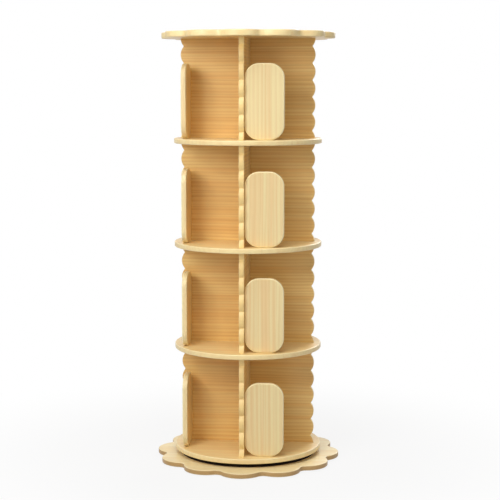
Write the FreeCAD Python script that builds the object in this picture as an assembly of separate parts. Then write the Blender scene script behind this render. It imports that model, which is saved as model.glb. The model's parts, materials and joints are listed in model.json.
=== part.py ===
"""A floor-standing revolving bookcase of pale pine boards, in millimetres.

Four round shelves and a scalloped top are stacked on crosses of wavy-edged walls. The whole tower turns
on a ring of steel balls, whose lower half is screwed to a scalloped base board.

The origin is on the floor under the middle of the base, +Z is up, and the arms of each cross lie along X and Y.
"""

import FreeCAD, Part
import math
import os

# Tower
tier_count = 4
tier_clear_height = 295.0
shelf_diameter = 444.0
shelf_thickness = 15.0
board_edge_break = 2.0

# Scalloped boards at the top and the bottom
lobe_count = 12
notch_fillet = 20.0
top_thickness = 18.0
top_overhang = 38.0
top_lobe_depth = 32.2
base_thickness = 15.0
base_overhang = 56.0
base_lobe_depth = 34.4

# Walls of the cross in each tier
wall_thickness = 15.0
wall_setback = 20.0
wave_pitch = 50.0
wave_depth = 9.5
wave_fillet = 3.0

# Rounded stop boards that keep a row from sliding off
stop_width = 115.0
stop_height = 220.0
stop_thickness = 15.0
stop_corner_radius = 43.0
stop_inset = 6.5
stop_edge_break = 2.5

# Ball-bearing turntable
turntable_diameter = 300.0
turntable_height = 13.0
ring_width = 20.5
ring_running_gap = 1.5
race_gap = 3.0
ball_diameter = 6.0
ball_count = 12
ball_clearance = 0.1
cage_thickness = 1.6
cage_height = 9.0

# Countersunk screws
screw_diameter = 5.0
screw_head_diameter = 9.5
screw_recess = 0.3
ring_screw_count = 6
ring_screw_turn = 15.0
base_screw_bite = 7.0
shelf_screw_bite = 11.0
wall_screw_bite = 36.0
wall_screw_setback = 10.0

# Dowels
level_dowel_diameter = 8.0
level_dowel_bite = 20.0
level_dowel_radius = 158.0
wall_dowel_diameter = 8.0
wall_dowel_bite = 22.0
wall_dowel_inset = 70.0
stop_dowel_diameter = 6.0
stop_dowel_bite = 16.0
stop_dowel_spacing = 80.0
blind_skin = 5.0

# Clearance round each screw and dowel, and past its end
hole_clearance = 0.05
hole_end_gap = 0.5

# Anti-slip pads under the base
pad_count = 6
pad_diameter = 30.0
pad_thickness = 2.5
pad_inset = 23.6

# Places that follow from the sizes above
ORIGIN = FreeCAD.Vector(0, 0, 0)
X = FreeCAD.Vector(1, 0, 0)
Y = FreeCAD.Vector(0, 1, 0)
Z = FreeCAD.Vector(0, 0, 1)
ARMS = {"right": 0, "back": 90, "left": 180, "front": 270}
TIERS = range(1, tier_count + 1)

shelf_radius = shelf_diameter / 2
top_radius = shelf_radius + top_overhang
base_radius = shelf_radius + base_overhang
base_top = pad_thickness + base_thickness
first_shelf_z = base_top + turntable_height

half_wall = wall_thickness / 2
wall_reach = shelf_radius - wall_setback
wave_radius = ((wave_pitch / 2) ** 2 + wave_depth**2) / (2 * wave_depth)
stop_face = wall_reach - wave_depth - stop_inset
stop_middle = stop_face - stop_thickness / 2

ring_outer = turntable_diameter / 2
race_radius = ring_outer - ring_width - race_gap / 2
race_z = base_top + turntable_height / 2
lower_ring_outer = race_radius - race_gap / 2
lower_ring_inner = lower_ring_outer - ring_width
wall_screw_radius = lower_ring_inner - wall_screw_setback


def level_z(level):
    """Underside of the board at a level: 1 is the lowest shelf, and one past the last shelf is the top board."""
    return first_shelf_z + (level - 1) * (shelf_thickness + tier_clear_height)


def floor_z(tier):
    """Upper face of the shelf that a tier stands on."""
    return level_z(tier) + shelf_thickness


def at(radius, angle, z):
    """The point at a radius and an angle in degrees round the tower's axis."""
    turn = math.radians(angle)
    return FreeCAD.Vector(radius * math.cos(turn), radius * math.sin(turn), z)


def spread(count, turn=0.0):
    """Evenly spaced angles in degrees, from the first one on."""
    return [turn + 360.0 * step / count for step in range(count)]


def direction(vector, angle):
    """A direction of the arm along +X, carried round to the arm at an angle."""
    return FreeCAD.Rotation(Z, angle).multVec(vector)


def placed(shape, angle, z):
    """The shape turned round the tower's axis and then raised."""
    return shape.transformed(FreeCAD.Placement(Z * z, FreeCAD.Rotation(Z, angle)).toMatrix())


def revolved(corners):
    """A solid of revolution round Z, from (radius, z) corners."""
    points = [FreeCAD.Vector(radius, 0, z) for radius, z in corners]
    return Part.Face(Part.makePolygon(points + points[:1])).revolve(ORIGIN, Z, 360)


def eased(plate, size):
    """A level plate with the edges of its two faces broken by a chamfer."""
    heights = [v.Z for v in plate.Vertexes]
    faces = (min(heights), max(heights))
    rims = [e for e in plate.Edges if any(max(abs(v.Z - z) for v in e.Vertexes) < 1e-6 for z in faces)]
    return plate.makeChamfer(size, rims)


def upright_edges(plate):
    """The edges that stand across a level plate's thickness."""
    return [e for e in plate.Edges if abs(e.firstVertex().Z - e.lastVertex().Z) > 1e-6]


def screw(base, length):
    """A countersunk screw that points up from a face at base, and the hole that takes it."""
    head = screw_head_diameter / 2
    shank = screw_diameter / 2
    neck = screw_recess + head - shank
    solid = [(0, screw_recess), (head, screw_recess), (shank, neck), (shank, length), (0, length)]
    mouth = head + screw_recess + hole_clearance
    bore = shank + hole_clearance
    deep = length + hole_end_gap
    hole = [(0, 0), (mouth, 0), (bore, neck), (bore, deep), (0, deep)]
    return tuple(revolved(corners).translated(base) for corners in (solid, hole))


def dowel(diameter, start, along, length):
    """A dowel, and the hole that takes it and leaves a gap at both of its ends."""
    solid = Part.makeCylinder(diameter / 2, length, start, along)
    mouth = start - along * hole_end_gap
    hole = Part.makeCylinder(diameter / 2 + hole_clearance, length + 2 * hole_end_gap, mouth, along)
    return solid, hole


def base_ring_screws():
    """Screws up through the base board into the turntable's lower ring."""
    circle = (lower_ring_inner + lower_ring_outer) / 2
    length = base_thickness + base_screw_bite
    angles = spread(ring_screw_count, ring_screw_turn)
    return [screw(at(circle, angle, pad_thickness), length) for angle in angles]


def shelf_ring_screws():
    """Screws up through the turntable's upper ring into the lowest shelf."""
    circle = ring_outer - ring_width / 2
    length = turntable_height - ring_running_gap + shelf_screw_bite
    start = base_top + ring_running_gap
    return [screw(at(circle, angle, start), length) for angle in spread(ring_screw_count, ring_screw_turn)]


def wall_screws(level):
    """Screws up through a shelf into the foot of each arm of the cross above it."""
    length = shelf_thickness + wall_screw_bite
    return [screw(at(wall_screw_radius, angle, level_z(level)), length) for angle in ARMS.values()]


def level_dowels(level):
    """Dowels that line each board up with the arms above and below it."""
    low = level_z(level) - level_dowel_bite
    high = floor_z(level) + level_dowel_bite
    if level == 1:
        low = level_z(level) + blind_skin
    if level > tier_count:
        high = level_z(level) + top_thickness - blind_skin
    starts = [at(level_dowel_radius, angle, low) for angle in ARMS.values()]
    return [dowel(level_dowel_diameter, start, Z, high - low) for start in starts]


def wall_dowels(tier):
    """Dowels through the cross panel into the front and back walls that butt against it."""
    length = wall_thickness + 2 * wall_dowel_bite
    heights = (wall_dowel_inset, tier_clear_height - wall_dowel_inset)
    starts = [FreeCAD.Vector(0, -length / 2, floor_z(tier) + height) for height in heights]
    return [dowel(wall_dowel_diameter, start, Y, length) for start in starts]


def stop_dowels(tier):
    """Two dowels from each arm's side face into the long edge of its stop."""
    length = wall_thickness - blind_skin + stop_dowel_bite
    pins = []
    for angle in ARMS.values():
        along = direction(Y, angle)
        for side in (-1, 1):
            height = floor_z(tier) + stop_height / 2 + side * stop_dowel_spacing / 2
            start = at(stop_middle, angle, height) + along * (blind_skin - half_wall)
            pins.append(dowel(stop_dowel_diameter, start, along, length))
    return pins


def shelf():
    """One round shelf, lying on z = 0."""
    return eased(Part.makeCylinder(shelf_radius, shelf_thickness), board_edge_break)


def scalloped_board(peak_radius, lobe_depth, thickness):
    """A level board whose outline is a ring of convex arcs that meet in softened notches."""
    half_lobe = 180.0 / lobe_count
    notch = peak_radius - lobe_depth
    arcs = []
    for angle in spread(lobe_count):
        start = at(notch, angle - half_lobe, 0)
        end = at(notch, angle + half_lobe, 0)
        arcs.append(Part.Arc(start, at(peak_radius, angle, 0), end).toShape())
    plate = Part.Face(Part.Wire(arcs)).extrude(Z * thickness)
    plate = plate.makeFillet(notch_fillet, upright_edges(plate))
    return eased(plate, board_edge_break)


def wavy_end(side):
    """The upright outer end of a wall from foot to head: convex arcs, with one in the middle of its height."""
    middle = tier_clear_height / 2
    each_way = math.ceil((middle - wave_pitch / 2) / wave_pitch)
    edges = []
    for lobe in range(-each_way, each_way + 1):
        crest = middle + lobe * wave_pitch
        low = max(crest - wave_pitch / 2, 0.0)
        high = min(crest + wave_pitch / 2, tier_clear_height)
        points = []
        for z in (low, (low + high) / 2, high):
            reach = wall_reach - wave_radius + math.sqrt(wave_radius**2 - (z - crest) ** 2)
            points.append(FreeCAD.Vector(side * reach, -half_wall, z))
        edges.append(Part.Arc(*points).toShape())
    return edges


def wall(inner_end):
    """A wall along X from its inner end to a wavy end at +X, standing on z = 0."""
    outer_end = wavy_end(1)
    foot = Part.makeLine(inner_end[0].firstVertex().Point, outer_end[0].firstVertex().Point)
    head = Part.makeLine(inner_end[-1].lastVertex().Point, outer_end[-1].lastVertex().Point)
    outline = Part.Wire(Part.__sortEdges__(inner_end + outer_end + [foot, head]))
    board = Part.Face(outline).extrude(Y * wall_thickness)
    across = [e for e in board.Edges if abs(e.firstVertex().Y - e.lastVertex().Y) > 1e-6]
    notches = [e for e in across if 1e-6 < e.firstVertex().Z < tier_clear_height - 1e-6]
    return board.makeFillet(wave_fillet, notches)


def cross_panel():
    """The full-width wall of a tier, wavy at both ends."""
    return wall(wavy_end(-1))


def half_panel():
    """A wall that butts against the cross panel's face."""
    foot = FreeCAD.Vector(half_wall, -half_wall, 0)
    return wall([Part.makeLine(foot, foot + Z * tier_clear_height)])


def stop():
    """The round-cornered stop of the arm along +X: it stands on z = 0 with its long edge against the arm."""
    plate = Part.makeBox(stop_width, stop_height, stop_thickness)
    plate = plate.makeFillet(stop_corner_radius, upright_edges(plate))
    plate = eased(plate, stop_edge_break)
    plate.rotate(ORIGIN, FreeCAD.Vector(1, 1, 1), 120)
    return plate.translated(FreeCAD.Vector(stop_face - stop_thickness, half_wall, 0))


def turntable_ring(inner, outer, foot, race_side):
    """One ring of the turntable, with a V race for the balls in the face towards the other ring.

    race_side is 1 where the race is in the outer face, and -1 where it is in the inner face.
    """
    head = foot + turntable_height - ring_running_gap
    face, back = (outer, inner) if race_side > 0 else (inner, outer)
    apex = race_radius - race_side * math.sqrt(2) * (ball_diameter / 2 + ball_clearance)
    mouth = abs(face - apex)
    race = [(face, race_z - mouth), (apex, race_z), (face, race_z + mouth)]
    return revolved([(back, foot), (face, foot)] + race + [(face, head), (back, head)])


def ball_cage():
    """The thin ring between the two turntable rings, with a round pocket for each ball."""
    inner = race_radius - cage_thickness / 2
    outer = race_radius + cage_thickness / 2
    low = race_z - cage_height / 2
    high = race_z + cage_height / 2
    ring = revolved([(inner, low), (outer, low), (outer, high), (inner, high)])
    pocket_radius = ball_diameter / 2 + ball_clearance
    pockets = []
    for angle in spread(ball_count):
        start = at(inner - cage_thickness, angle, race_z)
        pockets.append(Part.makeCylinder(pocket_radius, 3 * cage_thickness, start, direction(X, angle)))
    return ring.cut(pockets)


def balls():
    """The steel balls in their cage."""
    return [Part.makeSphere(ball_diameter / 2, at(race_radius, angle, race_z)) for angle in spread(ball_count)]


def pads():
    """Round anti-slip pads under every other lobe of the base."""
    circle = base_radius - base_lobe_depth - pad_inset
    return [Part.makeCylinder(pad_diameter / 2, pad_thickness, at(circle, angle, 0)) for angle in spread(pad_count)]


# Every screw and dowel in its place, with its hole
fasteners = {"base_ring_screws": base_ring_screws(), "shelf_ring_screws": shelf_ring_screws()}
for tier in TIERS:
    fasteners[f"level_{tier}_screws"] = wall_screws(tier)
    fasteners[f"tier_{tier}_wall_dowels"] = wall_dowels(tier)
    fasteners[f"tier_{tier}_stop_dowels"] = stop_dowels(tier)
for level in range(1, tier_count + 2):
    fasteners[f"level_{level}_dowels"] = level_dowels(level)
holes = [hole for pairs in fasteners.values() for _, hole in pairs]


def drilled(shape):
    """The shape with the holes of every screw and dowel that reaches into its box."""
    tools = []
    for hole in holes:
        shared = hole.BoundBox.intersected(shape.BoundBox)
        if min(shared.XLength, shared.YLength, shared.ZLength) > hole_end_gap:
            tools.append(hole)
    return shape.cut(tools) if tools else shape


# Boards, rings and fasteners by the name of their node
parts = {
    "base_board": drilled(
        placed(scalloped_board(base_radius, base_lobe_depth, base_thickness), 0, pad_thickness)
    ),
    "top_board": drilled(
        placed(scalloped_board(top_radius, top_lobe_depth, top_thickness), 0, level_z(tier_count + 1))
    ),
    "anti_slip_pads": Part.makeCompound(pads()),
    "bearing_lower_ring": drilled(turntable_ring(lower_ring_inner, lower_ring_outer, base_top, 1)),
    "bearing_upper_ring": drilled(
        turntable_ring(race_radius + race_gap / 2, ring_outer, base_top + ring_running_gap, -1)
    ),
    "bearing_cage": ball_cage(),
    "bearing_balls": Part.makeCompound(balls()),
}
for tier in TIERS:
    foot = floor_z(tier)
    parts[f"shelf_{tier}"] = drilled(placed(shelf(), 0, level_z(tier)))
    parts[f"tier_{tier}_cross_panel"] = drilled(placed(cross_panel(), 0, foot))
    for name in ("front", "back"):
        parts[f"tier_{tier}_{name}_wall"] = drilled(placed(half_panel(), ARMS[name], foot))
    for name, angle in ARMS.items():
        parts[f"tier_{tier}_{name}_stop"] = drilled(placed(stop(), angle, foot))
for name, pairs in fasteners.items():
    parts[name] = Part.makeCompound([solid for solid, _ in pairs])

os.makedirs("parts", exist_ok=True)
for name, shape in parts.items():
    shape.exportStep(f"parts/{name}.step")
print(len(parts), "nodes, overall height", round(level_z(tier_count + 1) + top_thickness, 1), "mm")
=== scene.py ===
import json
import math

import bpy
import numpy as np
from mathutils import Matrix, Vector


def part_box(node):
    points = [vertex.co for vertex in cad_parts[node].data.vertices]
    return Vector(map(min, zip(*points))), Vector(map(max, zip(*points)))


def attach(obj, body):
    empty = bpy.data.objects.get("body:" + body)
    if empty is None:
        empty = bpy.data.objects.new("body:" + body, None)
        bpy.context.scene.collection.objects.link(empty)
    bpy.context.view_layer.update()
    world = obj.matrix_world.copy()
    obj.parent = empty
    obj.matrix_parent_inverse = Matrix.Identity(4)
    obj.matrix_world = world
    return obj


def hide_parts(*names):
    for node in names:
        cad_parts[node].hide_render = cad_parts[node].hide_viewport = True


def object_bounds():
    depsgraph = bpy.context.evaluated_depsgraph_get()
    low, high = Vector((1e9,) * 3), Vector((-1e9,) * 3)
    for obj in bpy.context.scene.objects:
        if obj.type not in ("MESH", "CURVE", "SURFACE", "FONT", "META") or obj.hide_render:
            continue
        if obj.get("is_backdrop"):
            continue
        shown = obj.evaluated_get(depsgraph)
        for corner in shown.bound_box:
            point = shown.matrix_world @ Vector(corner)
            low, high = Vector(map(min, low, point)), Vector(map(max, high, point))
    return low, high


# %% [markdown]
# # A revolving bookcase of pale pine
#
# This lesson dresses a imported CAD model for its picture. The real object is a tower of four round shelves
# on crosses of wavy-ended walls. It turns on a hidden ring of steel balls over a scalloped base. The CAD
# solids give every place and size, so the lesson only adds what a solid lacks: softly sanded edges, wood
# and metal.

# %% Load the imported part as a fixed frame
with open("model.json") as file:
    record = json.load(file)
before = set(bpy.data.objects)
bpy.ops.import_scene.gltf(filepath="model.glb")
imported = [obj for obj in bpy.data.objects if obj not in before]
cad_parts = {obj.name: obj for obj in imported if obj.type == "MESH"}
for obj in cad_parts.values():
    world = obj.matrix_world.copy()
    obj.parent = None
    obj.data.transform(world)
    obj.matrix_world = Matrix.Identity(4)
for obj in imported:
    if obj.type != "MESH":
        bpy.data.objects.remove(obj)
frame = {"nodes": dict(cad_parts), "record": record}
cad_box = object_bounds()

# %% [markdown]
# ## Measures
#
# A board's place is read from its CAD node, so nothing is fitted by eye. Only shapes that a box can't tell,
# such as how deep a lobe is, are written down again here, in metres. The edges are sanded round where the
# solid has a small flat, because a round edge catches a soft highlight.

# %% Measures of the shapes
lobe_count = 12
base_lobe_depth = 0.0344
top_lobe_depth = 0.0322
lobe_notch_radius = 0.020
wave_pitch = 0.050
wave_depth = 0.0095
wave_notch_radius = 0.003
stop_corner_radius = 0.043

board_edge_radius = 0.0030
wall_edge_radius = 0.0018
stop_edge_radius = 0.0036
flat_border = 0.004

tiers = range(1, 5)
arms = {"right": 0.0, "back": 90.0, "left": 180.0, "front": 270.0}
first_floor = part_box("shelf_1")[1].z
tier_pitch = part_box("shelf_2")[1].z - first_floor
print("floors of the tiers start at", round(first_floor, 4), "and rise by", round(tier_pitch, 4))

# %% [markdown]
# How many points an arc gets is a choice between smoothness and size. The full circles and the long lobes
# show against the white ground, so they get the most.

# %% Points on each kind of arc
circle_points = 360
lobe_points = 36
lobe_notch_points = 14
corner_points = 24
wave_points = 18
wave_notch_points = 6
board_edge_points = 6
wall_edge_points = 5

# %% [markdown]
# ## From numbers to a mesh
#
# Every wooden piece is a closed tube of points: each row is one loop round the piece, and the rows follow
# one another from one face to the other. Numpy works out the whole grid at once, and foreach_set copies it
# into the mesh in one go, which is far quicker than adding points one by one. The first and last rows are
# closed by one flat face each.

# %% Turn a grid of points into a closed mesh
def closed_mesh(name, grid):
    """A closed mesh from rows of points, given as an array of rows by columns by 3.

    Point (i, j) shares a four-sided face with (i, j + 1), (i + 1, j + 1) and (i + 1, j). The columns run
    anticlockwise seen from the last row's side, so that faces point outwards.
    """
    rows, columns = grid.shape[:2]
    index = np.arange(rows * columns, dtype=np.int32).reshape(rows, columns)
    beside = np.roll(index, -1, axis=1)
    walls = np.stack([index[:-1], beside[:-1], beside[1:], index[1:]], axis=-1)
    corners = np.concatenate([walls.ravel(), index[0, ::-1], index[-1]])
    sides = np.full(walls.shape[0] * walls.shape[1], 4, dtype=np.int32)
    sides = np.append(sides, [columns, columns])
    mesh = bpy.data.meshes.new(name)
    mesh.vertices.add(rows * columns)
    mesh.vertices.foreach_set("co", grid.astype(np.float32).ravel())
    mesh.loops.add(len(corners))
    mesh.loops.foreach_set("vertex_index", corners)
    mesh.polygons.add(len(sides))
    mesh.polygons.foreach_set("loop_start", (np.cumsum(sides) - sides).astype(np.int32))
    mesh.polygons.foreach_set("use_smooth", np.ones(len(sides), dtype=bool))
    mesh.update(calc_edges=True)
    mesh.validate()
    piece = bpy.data.objects.new(name, mesh)
    bpy.context.scene.collection.objects.link(piece)
    return piece


# %% [markdown]
# ## Outlines made of arcs
#
# A scalloped rim and a wavy end are both chains of round lobes whose notches are softened by a small hollow
# arc. They could be drawn as curve objects, but an arc is only a centre, a radius and two angles, so a few
# lines of numpy give exact points and exact outward normals.

# %% Arcs and chains of arcs
def arc(centre, radius, start, end, steps, hollow=False):
    """Points centre + radius (cos a, sin a) for angles a from start up to end, and their outward normals.

    The end itself is left out, because the next arc starts there. The normal is (cos a, sin a), or its
    opposite on a hollow arc, whose centre is outside the wood.
    """
    angle = np.linspace(start, end, steps, endpoint=False)
    spoke = np.stack([np.cos(angle), np.sin(angle)], axis=1)
    return np.array(centre) + radius * spoke, -spoke if hollow else spoke


def chain(arcs):
    """Several arcs as one run of points and one run of normals."""
    points, normals = zip(*arcs)
    return np.concatenate(points), np.concatenate(normals)


def turned(vectors, degrees):
    """Vectors (x, y, ...) turned about Z: x' = x cos a - y sin a and y' = x sin a + y cos a."""
    angle = math.radians(degrees)
    spin = np.eye(vectors.shape[-1])
    spin[:2, :2] = [[math.cos(angle), -math.sin(angle)], [math.sin(angle), math.cos(angle)]]
    return vectors @ spin.T


def round_outline(radius):
    """A full circle about the origin."""
    return arc((0, 0), radius, 0, 2 * math.pi, circle_points)


def scalloped_outline(peak, lobe_depth):
    """A ring of lobes. Each lobe is the arc through its peak and the notches on both sides of it.

    With x and y as the place of a notch, the lobe's radius is ((peak - x)^2 + y^2) / (2 (peak - x)). The
    hollow arc in a notch touches both lobes, so its centre is lobe radius + notch radius away from theirs.
    """
    half = math.pi / lobe_count
    x = (peak - lobe_depth) * math.cos(half)
    y = (peak - lobe_depth) * math.sin(half)
    lobe = ((peak - x) ** 2 + y**2) / (2 * (peak - x))
    middle = peak - lobe
    reach = lobe + lobe_notch_radius
    far = middle * math.cos(half) + math.sqrt(reach**2 - (middle * math.sin(half)) ** 2)
    hollow = np.array([far * math.cos(half), far * math.sin(half)])
    swing = math.atan2(hollow[1], hollow[0] - middle)
    start = math.pi + swing
    end = math.pi + 2 * half - swing
    points, normals = chain(
        [
            arc((middle, 0), lobe, -swing, swing, lobe_points),
            arc(hollow, lobe_notch_radius, start, end, lobe_notch_points, hollow=True),
        ]
    )
    steps = [360.0 * step / lobe_count for step in range(lobe_count)]
    return tuple(np.concatenate([turned(run, angle) for angle in steps]) for run in (points, normals))


def rounded_outline(low, high, radius):
    """A rectangle between two corners, with its own corners rounded: four quarter circles.

    The one-point arc after each quarter adds its last point, where the straight side starts.
    """
    corners = [(high[0], high[1]), (low[0], high[1]), (low[0], low[1]), (high[0], low[1])]
    inward = [(-1, -1), (1, -1), (1, 1), (-1, 1)]
    arcs = []
    for step, (corner, side) in enumerate(zip(corners, inward)):
        centre = np.array(corner) + radius * np.array(side)
        start = step * math.pi / 2
        end = start + math.pi / 2
        arcs.append(arc(centre, radius, start, end, corner_points))
        arcs.append(arc(centre, radius, end, end + math.pi / 2, 1))
    return chain(arcs)


def wavy_end(reach, height):
    """Points (x, z) up the wavy end of a wall, and their outward normals.

    A lobe's radius is ((pitch / 2)^2 + depth^2) / (2 depth), one lobe is at half height, and the chain
    stops where it meets the boards below and above. A one-point arc adds the very last point.
    """
    lobe = ((wave_pitch / 2) ** 2 + wave_depth**2) / (2 * wave_depth)
    swing = math.asin(wave_pitch / 2 / (lobe + wave_notch_radius))
    hollow = reach - lobe + (lobe + wave_notch_radius) * math.cos(swing)
    start = math.pi + swing
    end = math.pi - swing
    each_way = math.ceil((height - wave_pitch) / 2 / wave_pitch)
    arcs = []
    for step in range(-each_way, each_way + 1):
        crest = height / 2 + step * wave_pitch
        low = math.asin(max(-crest / lobe, -math.sin(swing)))
        high = math.asin(min((height - crest) / lobe, math.sin(swing)))
        arcs.append(arc((reach - lobe, crest), lobe, low, high, wave_points))
        if step < each_way:
            notch = (hollow, crest + wave_pitch / 2)
            arcs.append(arc(notch, wave_notch_radius, start, end, wave_notch_points, hollow=True))
        else:
            arcs.append(arc((reach - lobe, crest), lobe, high, high + 1, 1))
    return chain(arcs)


base_reach = 0.278
print("points round the base:", len(scalloped_outline(base_reach, base_lobe_depth)[0]))

# %% [markdown]
# ## Sanded edges
#
# A real board's arris is sanded to a small round. The profile below goes in from the rim as a quarter circle
# on each face, and then has one narrow flat border. The border keeps the shading of the big flat face clean,
# because its points have a normal that is exactly square to the face. Carrying this profile round an outline
# gives a whole board, with no Bevel modifier to tune.

# %% The profile of a sanded edge, and a board made with it
def sanded_profile(thickness, radius, steps=board_edge_points):
    """A rim from one face to the other, as (inset, height) pairs.

    The first quarter is inset = r (1 - sin a) and height = r (1 - cos a), with a from 0 to 90 degrees. The
    other quarter is its mirror image at the far face.
    """
    angle = np.linspace(0, math.pi / 2, steps + 1)
    quarter = np.stack([1 - np.sin(angle), 1 - np.cos(angle)], axis=1) * radius
    near = np.vstack([[radius + flat_border, 0], quarter])
    return np.vstack([near, near[::-1] * [1, -1] + [0, thickness]])


def board(outline, profile):
    """A board as a grid: row i, column j is (outline[j] - inset[i] normal[j], height[i])."""
    points, normals = outline
    inset, height = profile.T
    flat = points - inset[:, None, None] * normals
    rise = np.broadcast_to(height[:, None, None], flat.shape[:2] + (1,))
    return np.concatenate([flat, rise], axis=-1)


# %% [markdown]
# ## Putting a piece in its place
#
# Each wooden piece stands for one CAD node: that node is hidden, and the piece rides on the same body, so it
# turns with it. The vertices themselves carry the place, and the object stays at the origin. That way the
# wood pattern, which reads object coordinates, doesn't slide.

# %% Dress a CAD node in a new piece
materials = {}


def dress(node, body, finish, grid):
    """Hides a CAD node and puts a piece made from the grid in its place, on the same body."""
    piece = closed_mesh(node + "_pine", grid)
    piece.data.materials.append(materials[finish])
    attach(piece, body)
    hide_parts(node)


# %% [markdown]
# ## Shader maths as formulas
#
# A wood pattern is mostly arithmetic on coordinates. Node by node it becomes unreadable, so this small class
# holds one socket and lets Python's own operators add the Math nodes.

# %% A socket that can be used in a formula
class Field:
    """One output of a node tree, which adds the nodes of any expression that it's used in."""

    def __init__(self, tree, socket):
        self.tree = tree
        self.socket = socket

    def node(self, kind, settings=None, inputs=None, output=0):
        """Adds a node, sets its settings first, then feeds its inputs with values or fields."""
        made = self.tree.nodes.new("ShaderNode" + kind)
        for name, value in (settings or {}).items():
            setattr(made, name, value)
        for name, value in (inputs or {}).items():
            if isinstance(value, Field):
                self.tree.links.new(value.socket, made.inputs[name])
            else:
                made.inputs[name].default_value = value
        return Field(self.tree, made.outputs[output])

    def math(self, operation, first, *others):
        return self.node("Math", {"operation": operation}, dict(enumerate((first, *others))))

    def __add__(self, other):
        return self.math("ADD", self, other)

    def __radd__(self, other):
        return self.math("ADD", other, self)

    def __sub__(self, other):
        return self.math("SUBTRACT", self, other)

    def __rsub__(self, other):
        return self.math("SUBTRACT", other, self)

    def __mul__(self, other):
        return self.math("MULTIPLY", self, other)

    def __rmul__(self, other):
        return self.math("MULTIPLY", other, self)

    def __truediv__(self, other):
        return self.math("DIVIDE", self, other)

    def step(self, low, high):
        """A smooth rise from 0 at low to 1 at high."""
        ends = {"From Min": low, "From Max": high}
        return self.node("MapRange", {"interpolation_type": "SMOOTHSTEP"}, {"Value": self, **ends})


def srgb(red, green, blue):
    """A screen colour of 0 to 255 as the linear colour that a shader socket wants."""
    part = np.array([red, green, blue]) / 255
    linear = np.where(part <= 0.04045, part / 12.92, ((part + 0.055) / 1.055) ** 2.4)
    return (*linear.tolist(), 1.0)


def new_finish(name, **constants):
    """A material with one Principled shader, whose constants are set on its own sockets."""
    material = bpy.data.materials.new(name)
    material.use_nodes = True
    shader = material.node_tree.nodes["Principled BSDF"]
    for socket, value in constants.items():
        shader.inputs[socket.replace("_", " ")].default_value = value
    materials[name] = material
    start = material.node_tree.nodes.new("ShaderNodeTexCoord")
    return material.node_tree, shader, Field(material.node_tree, start.outputs["Object"])


def feed(tree, shader, **inputs):
    """Links fields to the shader's inputs."""
    for socket, field in inputs.items():
        tree.links.new(field.socket, shader.inputs[socket.replace("_", " ")])


def axes(coordinates):
    """The x, y and z of a vector field."""
    split = coordinates.node("SeparateXYZ", None, {0: coordinates})
    outputs = split.socket.node.outputs
    return {name: Field(coordinates.tree, outputs[name.upper()]) for name in "xyz"}


def vector(x, y, z):
    """A vector field from three values, at least one of which is a field."""
    some = next(value for value in (x, y, z) if isinstance(value, Field))
    return some.node("CombineXYZ", None, {0: x, 1: y, 2: z})


def noise(at, scale=1.0, detail=2.0, roughness=0.5):
    """Smooth random values of about 0.5 over a vector field."""
    inputs = {"Vector": at, "Scale": scale, "Detail": detail, "Roughness": roughness}
    return at.node("TexNoise", None, inputs)


def mix(share, first, second):
    """Goes from the first colour to the second as share goes from 0 to 1."""
    return share.node("Mix", {"data_type": "RGBA"}, {0: share, 6: first, 7: second}, 2)


def scaled(colour, amount):
    """A colour made lighter or darker by an amount."""
    return amount.node("VectorMath", {"operation": "SCALE"}, {0: colour, "Scale": amount})


def bump(height, distance, strength):
    """A surface normal from a height field. The distance is the height in metres that 1 stands for."""
    return height.node("Bump", None, {"Height": height, "Distance": distance, "Strength": strength})


def from_axis(axis):
    """The distance from the Z axis: the square root of x^2 + y^2."""
    square = axis["x"] * axis["x"] + axis["y"] * axis["y"]
    return square.math("SQRT", square)


# %% [markdown]
# ## Pine
#
# Softwood panels like these are glued up from strips, each sawn from another place in a log. Where the saw
# passed beside the pith, the year rings show as nearly straight lines. A picture of wood would stretch at
# the rims, so the rings are worked out in space: the distance from a wandering pith line, counted in rings.
# Rims and end grain then agree with the faces by themselves.
#
# The rims are sanded finer than the faces, so their rings are fainter. The arrises are painted paler as a
# painted highlight, most of all on the stops. A clear satin lacquer is a middling roughness that varies
# with the grain.
#
# The woods below are the same pine. The walls have a warmer and deeper tone than the boards, which is painted
# shade of the compartments, and the base is the palest, which is painted light on its open top. The boards'
# narrow sides and the walls' wavy ends go paler as painted light. The base's rim is darkened as painted
# shade, and its middle, under the tower, is painted near black as painted shade. Only a dark line of it
# shows, in the gap under the lowest shelf.

# %% Tones of early wood, of warmer streaks and of late wood, and tones of the edges
stop_wood = (srgb(238, 219, 165), srgb(236, 205, 150), srgb(216, 167, 100))
board_wood = (srgb(247, 223, 163), srgb(243, 209, 145), srgb(221, 175, 104))
# Painted light: the base's paler tone stands for the light on its open top; it is the same pine.
base_wood_painted_light = (srgb(251, 236, 188), srgb(248, 224, 168), srgb(229, 188, 121))
# Painted shade: the walls' warmer, deeper tone stands for the shade inside the compartments.
wall_wood_painted_shade = (srgb(249, 212, 134), srgb(242, 195, 116), srgb(212, 154, 79))
# Painted highlight: the pale tone of the arrises and of the boards' narrow sides, for the light they catch.
painted_edge_highlight = srgb(252, 238, 188)
# Painted light: the paler tone of the walls' wavy ends, which catch the light that the wall faces miss.
wall_end_painted_light = srgb(250, 221, 152)
# Painted shade: the darker tone of the base's rim, for the shade low down by the floor.
painted_rim_shade = srgb(180, 135, 72)
# Painted shade: a near black for the base's hidden middle, for the shade in the gap under the lowest shelf.
painted_gap_shade = srgb(38, 16, 6)
print("the boards' early wood as a linear colour:", [round(value, 3) for value in board_wood[0]])

# %% [markdown]
# The pith of each strip lies some strip widths to one side and some millimetres deep, both by chance. The
# noises below are stretched along the grain: each pair says how many cycles a metre has along and across it.
# A tier's wood starts just under its shelf, so a little more than a shelf's thickness below the floor.
#
# Ripple and unevenness move the rings by so many rings. Late wood rises and drops between the given
# fractions of a ring. The factors on a strip's, tier's or ring's number only keep their noises apart.

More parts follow.
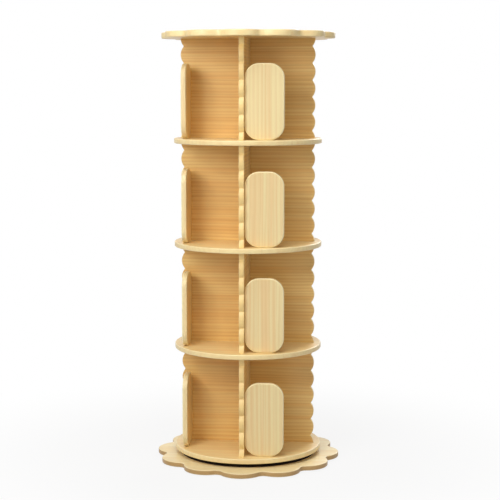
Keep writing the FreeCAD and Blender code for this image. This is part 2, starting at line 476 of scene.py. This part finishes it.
# %% Measures of the grain, in metres, strip widths, rings and cycles per metre
pith_aside = 0.75
pith_aside_range = 1.5
pith_depth = 0.006
pith_depth_range = 0.03
pith_wander = 0.014
glue_line = 0.0004
log_length = 9.0
strip_shift_per_tier = 0.377

wander_cycles = 2.2
uneven_cycles = 26.0
ripple_cycles = (6.0, 34.0)
streak_cycles = (0.9, 55.0)
fibre_cycles = (16.0, 620.0)
fleck_cycles = (55.0, 1300.0)

ripple_rings = 0.5
uneven_rings = 2.4
late_rise = (0.15, 0.85)
late_drop = (0.87, 1.0)

lacquer_roughness = 0.38
lacquer_coat = 0.20
grain_relief = 0.00012
# The radius and blur of the painted shade in the base's middle.
gap_shade_radius = 0.206
gap_shade_blur = 0.001
below_floor = 0.0152
lowest_wood = first_floor - below_floor
print("fibres are about", round(1000 / fibre_cycles[1], 1), "mm apart")


# %% The pine finish
def pine(name, run_of, middle, wood, seed, strip, rings, contrast, painted_rim=(0.2, painted_edge_highlight), edge_highlight=0.45, shaded_middle=0):
    """Glued-up pine strips. run_of names the axes of the grain, of the strips' width and of the thickness.

    Year rings: p = fraction of R / rings, with R the distance from the strip's own pith line, which lies
    to one side of the strip, and rings the width of a ring. The tone rises slowly through a ring and drops
    at its end, as late wood does. wood holds the tones of early wood, of warmer streaks and of late wood,
    and contrast is how dark the late wood gets. middle is how far out the middle of the board's thickness
    is, and seed gives each finish strips of its own. painted_rim is how far the narrow sides go to a tone
    of their own: a paler one as painted light on boards and wall ends, a darker one as painted shade on
    the base's rim. edge_highlight is how far the arrises go to a pale tone, a painted highlight, and
    shaded_middle is the radius of a middle painted near black as painted shade.

    Below, facing is 1 on the broad faces, 0 on the rims and something between on the rounded arrises.
    """
    tree, shader, place = new_finish(name, Specular_IOR_Level=0.45, Coat_Roughness=0.24)
    axis = axes(place)
    grain, side, out = (axis[letter] for letter in run_of)
    flat_board = run_of[2] == "z"

    facing = axes(Field(tree, place.socket.node.outputs["Normal"]))[run_of[2]]
    facing = facing.math("ABSOLUTE", facing)
    broad = facing.step(0.4, 0.9)
    arris = facing.step(0.1, 0.5) * (1.0 - facing.step(0.9, 0.99))

    tier = axis["z"].math("FLOOR", (axis["z"] - lowest_wood) / tier_pitch)
    depth = out - tier * tier_pitch - middle if flat_board else out.math("ABSOLUTE", out) - middle
    place_of_strip = side / strip + tier * strip_shift_per_tier + seed
    number = side.math("FLOOR", place_of_strip)
    inside = side.math("FRACT", place_of_strip) - 0.5
    roll = axes(number.node("TexWhiteNoise", None, {"Vector": vector(number, tier, seed)}, 1))
    flip = roll["x"].math("GREATER_THAN", roll["x"], 0.5) * 2.0 - 1.0
    run = grain + roll["x"] * log_length

    def stretched(cycles, **look):
        """Noise with so many cycles per metre along and across the grain."""
        along, across = cycles
        return noise(vector(run * along, side * across, depth * across), **look)

    wander = noise(vector(run * wander_cycles, number * 3.7, tier * 1.9 + seed), detail=1.0)
    ripple = stretched(ripple_cycles, detail=2.0)
    aside = (inside * flip + pith_aside + roll["y"] * pith_aside_range) * strip
    below = depth + pith_depth + roll["z"] * pith_depth_range
    ring = side.math("SQRT", aside * aside + below * below)
    uneven = noise(vector(ring * uneven_cycles, number * 2.3, tier + seed), detail=1.0)
    count = (ring + (wander - 0.5) * pith_wander) / rings + (ripple - 0.5) * ripple_rings
    count = count + (uneven - 0.5) * uneven_rings
    part = count.math("FRACT", count)
    late = part.step(*late_rise) * (1.0 - part.step(*late_drop))
    years = noise(vector(count.math("FLOOR", count) * 0.71, number, tier + seed), detail=0.0)
    streak = stretched(streak_cycles, detail=3.0, roughness=0.6)
    fibre = stretched(fibre_cycles, detail=3.0, roughness=0.6)
    fleck = stretched(fleck_cycles, detail=1.0).step(0.64, 0.74)
    glue = inside.math("ABSOLUTE", inside).step(0.5 - glue_line / strip, 0.5)

    line = late * (0.3 + years * 1.1) * (0.35 + broad * 0.65) * contrast
    ground = mix(streak.step(0.36, 0.66), wood[0], wood[1])
    # Painted light and shade: the narrow sides go to a tone of their own, the arrises to a painted highlight.
    tone = mix((1.0 - broad) * painted_rim[0], mix(line, ground, wood[2]), painted_rim[1])
    tone = mix(arris * edge_highlight, tone, painted_edge_highlight)
    roughness = lacquer_roughness + fibre * 0.12 + late * -0.06 + streak * 0.06
    coat = lacquer_coat + late * 0.10
    # Painted shade: the middle goes near black, rougher and without coat, for the shade in the gap.
    if shaded_middle:
        outside_shaded_middle = from_axis(axis).step(shaded_middle - gap_shade_blur, shaded_middle + gap_shade_blur)
        tone = mix(outside_shaded_middle, painted_gap_shade, tone)
        roughness = roughness + (1.0 - outside_shaded_middle) * 0.45
        coat = coat * outside_shaded_middle
    light = (0.97 + roll["z"] * 0.04) * (0.965 + fibre * 0.07) * (1.0 - fleck * 0.06) * (1.0 - glue * 0.12)
    height = fibre * 0.5 + late * 0.35 - fleck * 0.3 - glue * 0.6
    feed(
        tree,
        shader,
        Base_Color=scaled(tone, light),
        Roughness=roughness,
        Coat_Weight=coat,
        Normal=bump(height, grain_relief, 0.55),
    )


# %% [markdown]
# Boards, walls and stops are sawn from strips of different widths. The finish takes one tier's pitch off a
# level board's height for each tier below it. So the middle of the top board is given four tiers lower than
# it is, and that of the base, which lies below the first tier, one tier higher.

# %% Seven pine finishes
board_cut = {"strip": 0.074, "rings": 0.0090, "contrast": 0.42}
# The walls' wavy ends go to their paler tone, as painted light.
wall_cut = {"strip": 0.0735, "rings": 0.0100, "contrast": 0.38, "painted_rim": (0.6, wall_end_painted_light)}
# The stops' arrises go almost fully to the painted highlight.
stop_cut = {"strip": 0.0575, "rings": 0.0120, "contrast": 0.21, "edge_highlight": 0.95}
# Painted shade on the base: a darker rim and a near black middle.
base_painted_shade = {"painted_rim": (0.85, painted_rim_shade), "shaded_middle": gap_shade_radius}

stop_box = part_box("tier_1_right_stop")
stop_middle = (stop_box[0].x + stop_box[1].x) / 2
shelf_middle = (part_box("shelf_1")[0].z + first_floor) / 2
top_middle = (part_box("top_board")[0].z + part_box("top_board")[1].z) / 2 - len(tiers) * tier_pitch
base_middle = (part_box("base_board")[0].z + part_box("base_board")[1].z) / 2 + tier_pitch

pine("pine_shelf", "xyz", shelf_middle, board_wood, 3.13, **board_cut)
pine("pine_top", "xyz", top_middle, board_wood, 8.41, **board_cut)
pine("pine_base", "xyz", base_middle, base_wood_painted_light, 5.27, **board_cut, **base_painted_shade)
pine("pine_wall_x", "xzy", 0.0, wall_wood_painted_shade, 1.21, **wall_cut)
pine("pine_wall_y", "yzx", 0.0, wall_wood_painted_shade, 6.37, **wall_cut)
pine("pine_stop_x", "zxy", stop_middle, stop_wood, 2.87, **stop_cut)
pine("pine_stop_y", "zyx", stop_middle, stop_wood, 4.59, **stop_cut)
print("pine finishes:", len(materials))

# %% [markdown]
# ## Metal, plastic, rubber and beech
#
# The turntable hides under the lowest shelf, but it's seen from low angles and when the pieces are looked at
# one by one. Its rings are turned aluminium, so fine circles run round the axis. The balls are polished
# steel, the cage is moulded nylon, the screws are zinc plated, the dowels are bare beech and the pads are
# foam rubber.

# %% The hidden parts' finishes
def turned_aluminium():
    """Lathe lines: noise that depends on the radius and the height only."""
    tree, shader, place = new_finish("turned_aluminium", Metallic=1.0)
    axis = axes(place)
    lines_per_metre = 4200.0
    lines = noise(vector(from_axis(axis) * lines_per_metre, axis["z"] * lines_per_metre, 0.5), detail=2.0)
    patch = noise(place, 22.0, 3.0)
    colour = mix(patch, srgb(198, 199, 204), srgb(226, 227, 230))
    feed(tree, shader, Base_Color=colour, Roughness=0.24 + lines * 0.16 + patch * 0.08)
    feed(tree, shader, Normal=bump(lines, 0.00002, 0.5))


def polished_steel():
    """Nearly a mirror, with faint rolling marks."""
    tree, shader, place = new_finish("polished_steel", Metallic=1.0)
    marks = noise(place, 900.0, 3.0, 0.7)
    colour = mix(marks, srgb(206, 207, 211), srgb(228, 229, 232))
    feed(tree, shader, Base_Color=colour, Roughness=0.05 + marks * 0.09)
    feed(tree, shader, Normal=bump(marks, 0.000004, 0.4))


def moulded_nylon():
    """A milky plastic with a fine pebbled skin and slow cloudy flow marks."""
    tree, shader, place = new_finish("moulded_nylon", Specular_IOR_Level=0.45)
    pebbles = noise(place, 1500.0, 2.0)
    flow = noise(place, 30.0, 3.0, 0.6)
    colour = mix(flow, srgb(224, 223, 214), srgb(236, 235, 228))
    feed(tree, shader, Base_Color=colour, Roughness=0.46 + pebbles * 0.12)
    feed(tree, shader, Normal=bump(pebbles, 0.00003, 0.5))


def zinc_plate():
    """Bright zinc with the cloudy spangle and slight yellow cast of plating."""
    tree, shader, place = new_finish("zinc_plate", Metallic=1.0)
    spangle = noise(place, 420.0, 4.0, 0.65)
    cast = noise(place, 70.0, 2.0)
    colour = mix(cast, srgb(186, 187, 188), srgb(205, 201, 186))
    feed(tree, shader, Base_Color=scaled(colour, 0.92 + spangle * 0.16), Roughness=0.22 + spangle * 0.22)
    feed(tree, shader, Normal=bump(spangle, 0.00001, 0.5))


def bare_beech():
    """Fine short flecks on a pinkish ground."""
    tree, shader, place = new_finish("bare_beech", Specular_IOR_Level=0.3)
    cloud = noise(place, 60.0, 3.0)
    fleck = noise(place, 1400.0, 2.0).step(0.56, 0.66)
    colour = mix(cloud, srgb(214, 178, 136), srgb(226, 194, 152))
    feed(tree, shader, Base_Color=mix(fleck, colour, srgb(176, 134, 96)), Roughness=0.62 + cloud * 0.12)
    feed(tree, shader, Normal=bump(1.0 - fleck, 0.00005, 0.5))


def foam_rubber():
    """Dark foam with open pores, painted darker in their hollows as painted shade."""
    tree, shader, place = new_finish("foam_rubber", Specular_IOR_Level=0.25)
    pores = noise(place, 1100.0, 2.0, 0.6).step(0.4, 0.62)
    dust = noise(place, 160.0, 3.0)
    colour = mix(dust, srgb(38, 38, 39), srgb(58, 57, 55))
    # Painted shade: the colour darkens in the pore hollows, where the bump sinks.
    feed(tree, shader, Base_Color=scaled(colour, 0.7 + pores * 0.4), Roughness=0.82 + dust * 0.12)
    feed(tree, shader, Normal=bump(pores, 0.0002, 0.8))


turned_aluminium()
polished_steel()
moulded_nylon()
zinc_plate()
bare_beech()
foam_rubber()
print("finishes in all:", len(materials))

# %% [markdown]
# ## Hidden parts keep their CAD meshes
#
# Rings, balls, cage, screws, dowels and pads already have the right shape, so they keep their meshes and
# only get a finish. The record names each node's material slot, and this table turns a slot into a finish.

# %% Give the CAD nodes their finishes
finish_of_slot = {
    "turntable_ring": "turned_aluminium",
    "bearing_steel": "polished_steel",
    "cage_plastic": "moulded_nylon",
    "screw_steel": "zinc_plate",
    "dowel_beech": "bare_beech",
    "anti_slip_pad": "foam_rubber",
    "pine_boards": "pine_shelf",
    "pine_walls": "pine_wall_x",
    "pine_stops": "pine_stop_x",
}
for part in frame["record"]["subparts"]:
    node = frame["nodes"][part["node"]]
    for holder in node.material_slots:
        holder.material = materials[finish_of_slot[part["material_slot"]]]
print("slots:", len(finish_of_slot))

# %% [markdown]
# ## Boards
#
# The four shelves are plain discs. The top and the base are scalloped, with twelve lobes, four of which
# reach out along the arms. All of them are the same sanded profile, carried round another outline.

# %% Shelves, top and base
def level_board(node, body, finish, outline):
    """A level board between the heights of its CAD node."""
    low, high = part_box(node)
    grid = board(outline, sanded_profile(high.z - low.z, board_edge_radius))
    dress(node, body, finish, grid + [0, 0, low.z])


for tier in tiers:
    level_board(f"shelf_{tier}", "carousel", "pine_shelf", round_outline(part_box(f"shelf_{tier}")[1].x))
for node, body, finish, depth in (
    ("top_board", "carousel", "pine_top", top_lobe_depth),
    ("base_board", "base", "pine_base", base_lobe_depth),
):
    level_board(node, body, finish, scalloped_outline(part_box(node)[1].x, depth))

# %% [markdown]
# ## Walls
#
# Each tier has a full-width cross panel and two walls that butt against it. A wall is a stack of level
# sections: straight along its faces and rounded at its outer corners. Going up, the section's end follows
# the wavy outline, so the whole wall is one grid of height by way round the section.

# %% A wall as a stack of sections
def wall_grid(reach, height, thickness, inner=None):
    """A wall along X, from an inner end or a second wavy end to a wavy end at +X, standing on z = 0.

    Round the end, point (i, j) is the wavy point i moved in by inset j along its own normal, at side
    y = height j of the sanded profile less half the thickness.
    """
    points, normals = wavy_end(reach, height)
    inset, across = sanded_profile(thickness, wall_edge_radius, wall_edge_points).T
    along = points[:, :1] - inset * normals[:, :1]
    rise = np.clip(points[:, 1:] - inset * normals[:, 1:], 0, height)
    side = np.broadcast_to(across - thickness / 2, along.shape)
    outer = np.stack([along, side, rise], axis=-1)
    if inner is None:
        return np.concatenate([outer, outer * [-1, -1, 1]], axis=1)
    back = outer[:, [-1, 0]].copy()
    back[:, :, 0] = inner
    return np.concatenate([outer, back], axis=1)


def stand(grid, angle, node):
    """A grid made for the arm along +X, turned to another arm and stood on its tier's floor."""
    return turned(grid, angle) + [0, 0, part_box(node)[0].z]


for tier in tiers:
    node = f"tier_{tier}_cross_panel"
    low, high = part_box(node)
    sizes = (high.x, high.z - low.z, high.y - low.y)
    dress(node, "carousel", "pine_wall_x", stand(wall_grid(*sizes), 0, node))
    for side in ("front", "back"):
        node = f"tier_{tier}_{side}_wall"
        grid = wall_grid(*sizes, inner=sizes[2] / 2)
        dress(node, "carousel", "pine_wall_y", stand(grid, arms[side], node))

# %% [markdown]
# ## Stop boards
#
# The round-cornered boards keep a row from sliding off. Each stands with one long edge against its arm, on
# the arm's anticlockwise side. It's the sanded profile again, round a rectangle with big corner radii, drawn
# upright.

# %% Sixteen stops
for tier in tiers:
    low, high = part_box(f"tier_{tier}_right_stop")
    height = high.z - low.z
    outline = rounded_outline((low.y, 0), (high.y, height), stop_corner_radius)
    flat = board(outline, sanded_profile(high.x - low.x, stop_edge_radius))
    upright = flat[:, :, [2, 0, 1]] + [low.x, 0, 0]
    for arm, angle in arms.items():
        node = f"tier_{tier}_{arm}_stop"
        finish = "pine_stop_x" if arm in ("front", "back") else "pine_stop_y"
        dress(node, "carousel", finish, stand(upright, angle, node))

# %% [markdown]
# ## Floor and background
#
# The photo has a pure white ground. A lit floor would be grey at its far end, so the floor shows the camera
# a white glow, mixed with a real diffuse surface near the object that takes its shadow. All other rays see a
# plain pale floor.

# %% A pale floor
floor_radius = 30
floor_points = 96
shadow_share = 0.13
shadow_near = 0.3
shadow_far = 1.2
pure_white = (1.0, 1.0, 1.0, 1.0)


def white_for_camera(field):
    """1 for rays from the camera, and for mirror and glass rays, so that metal shows the same ground."""
    kinds = ("Is Camera Ray", "Is Glossy Ray", "Is Transmission Ray")
    rays = field.node("LightPath").socket.node.outputs
    camera_ray, glossy_ray, glass_ray = (Field(field.tree, rays[kind]) for kind in kinds)
    return field.math("MAXIMUM", field.math("MAXIMUM", camera_ray, glossy_ray), glass_ray)


floor_mesh = bpy.data.meshes.new("floor")
turn = np.linspace(0, 2 * math.pi, floor_points, endpoint=False)
floor_rim = np.stack([floor_radius * np.cos(turn), floor_radius * np.sin(turn), 0 * turn], axis=1)
floor_mesh.from_pydata(floor_rim.tolist(), [], [list(range(floor_points))])
floor = bpy.data.objects.new("floor", floor_mesh)
bpy.context.scene.collection.objects.link(floor)
floor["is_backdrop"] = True

floor_material = bpy.data.materials.new("pale_floor")
floor_material.use_nodes = True
tree = floor_material.node_tree
tree.nodes.clear()
start = Field(tree, tree.nodes.new("ShaderNodeTexCoord").outputs["Object"])
distance = start.node("VectorMath", {"operation": "LENGTH"}, {0: start}, 1)
real = start.node("BsdfDiffuse", None, {"Color": srgb(205, 204, 202)})
glow = start.node("Emission", None, {"Color": pure_white, "Strength": 1.0})
share = shadow_share * (1.0 - distance.step(shadow_near, shadow_far))
shown = start.node("MixShader", None, {0: share, 1: glow, 2: real})
both = start.node("MixShader", None, {0: white_for_camera(start), 1: real, 2: shown})
output = tree.nodes.new("ShaderNodeOutputMaterial")
tree.links.new(both.socket, output.inputs["Surface"])
floor_mesh.materials.append(floor_material)
print("floor radius:", floor_radius, "m")

# %% [markdown]
# ## Light and camera
#
# The photo is lit by large soft sources. The key stands near the front left, not much higher than the tower,
# so it reaches right up under the top board. A softbox high above the front lights the boards' upper faces
# and leaves a shadow under each of them. The world adds a little light from everywhere, and a weak fill and
# a back lamp keep the other sides readable.

# %% World and lamps
world_strength = 0.25
world_tint = (1.0, 0.985, 0.965, 1.0)

world = bpy.data.worlds.new("studio")
bpy.context.scene.world = world
world.use_nodes = True
tree = world.node_tree
tree.nodes.clear()
start = Field(tree, tree.nodes.new("ShaderNodeTexCoord").outputs["Generated"])
soft = start.node("Background", None, {"Color": world_tint, "Strength": world_strength})
white = start.node("Background", None, {"Color": pure_white, "Strength": 1.0})
both = start.node("MixShader", None, {0: white_for_camera(start), 1: soft, 2: white})
output = tree.nodes.new("ShaderNodeOutputWorld")
tree.links.new(both.socket, output.inputs["Surface"])


def softbox(name, place, aim, size, power):
    """A square lamp that faces a point."""
    lamp = bpy.data.lights.new(name, "AREA")
    lamp.size = size
    lamp.energy = power
    box = bpy.data.objects.new(name, lamp)
    box.location = place
    away = np.array(place) - np.array(aim)
    flat = math.hypot(away[0], away[1])
    box.rotation_euler = (math.atan2(flat, away[2]), 0, math.atan2(away[0], -away[1]))
    bpy.context.scene.collection.objects.link(box)


softbox("key_softbox", (-1.3, -2.4, 1.9), (0, 0, 0.8), 1.2, 36)
softbox("high_softbox", (-0.2, -1.8, 3.8), (0, 0, 0.4), 2.0, 60)
softbox("fill_softbox", (2.8, -2.6, 1.6), (0, 0, 0.8), 1.6, 11)
softbox("back_softbox", (1.2, 3.4, 2.4), (0, 0, 0.7), 1.8, 55)
print("lamps:", len(bpy.data.lights))

# %% [markdown]
# The camera was found by fitting a pinhole camera to the rims of the boards in the photo. Its focal length
# is in pixels of the 500 pixel frame, and the other values are metres and radians.

# %% The camera of the photo
lens_pixels = 1360.5
frame_pixels = 500
sensor_width = 36.0
camera_distance = 4.0995
camera_height = 1.1270
camera_turn = math.radians(5.5)
camera_pitch = 0.1192
side_step = 0.006

lens = bpy.data.cameras.new("camera")
lens.sensor_width = sensor_width
lens.lens = sensor_width * lens_pixels / frame_pixels
camera = bpy.data.objects.new("camera", lens)
camera.location = (
    camera_distance * math.sin(camera_turn) + side_step * math.cos(camera_turn),
    -camera_distance * math.cos(camera_turn) + side_step * math.sin(camera_turn),
    camera_height,
)
camera.rotation_euler = (math.pi / 2 - camera_pitch, 0, camera_turn)
bpy.context.scene.collection.objects.link(camera)
bpy.context.scene.camera = camera
bpy.context.scene.view_settings.view_transform = "Standard"
print("focal length:", round(lens.lens, 2), "mm")

# %% [markdown]
# ## The size of the dressed object
#
# The dressed object has to fill the same box as the CAD model, so both boxes are printed.

# %% Print the sizes
bpy.context.view_layer.update()
sizes = {
    "cad": [list(corner) for corner in cad_box],
    "visual": [list(corner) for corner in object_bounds()],
}
print("boxes:", sizes)
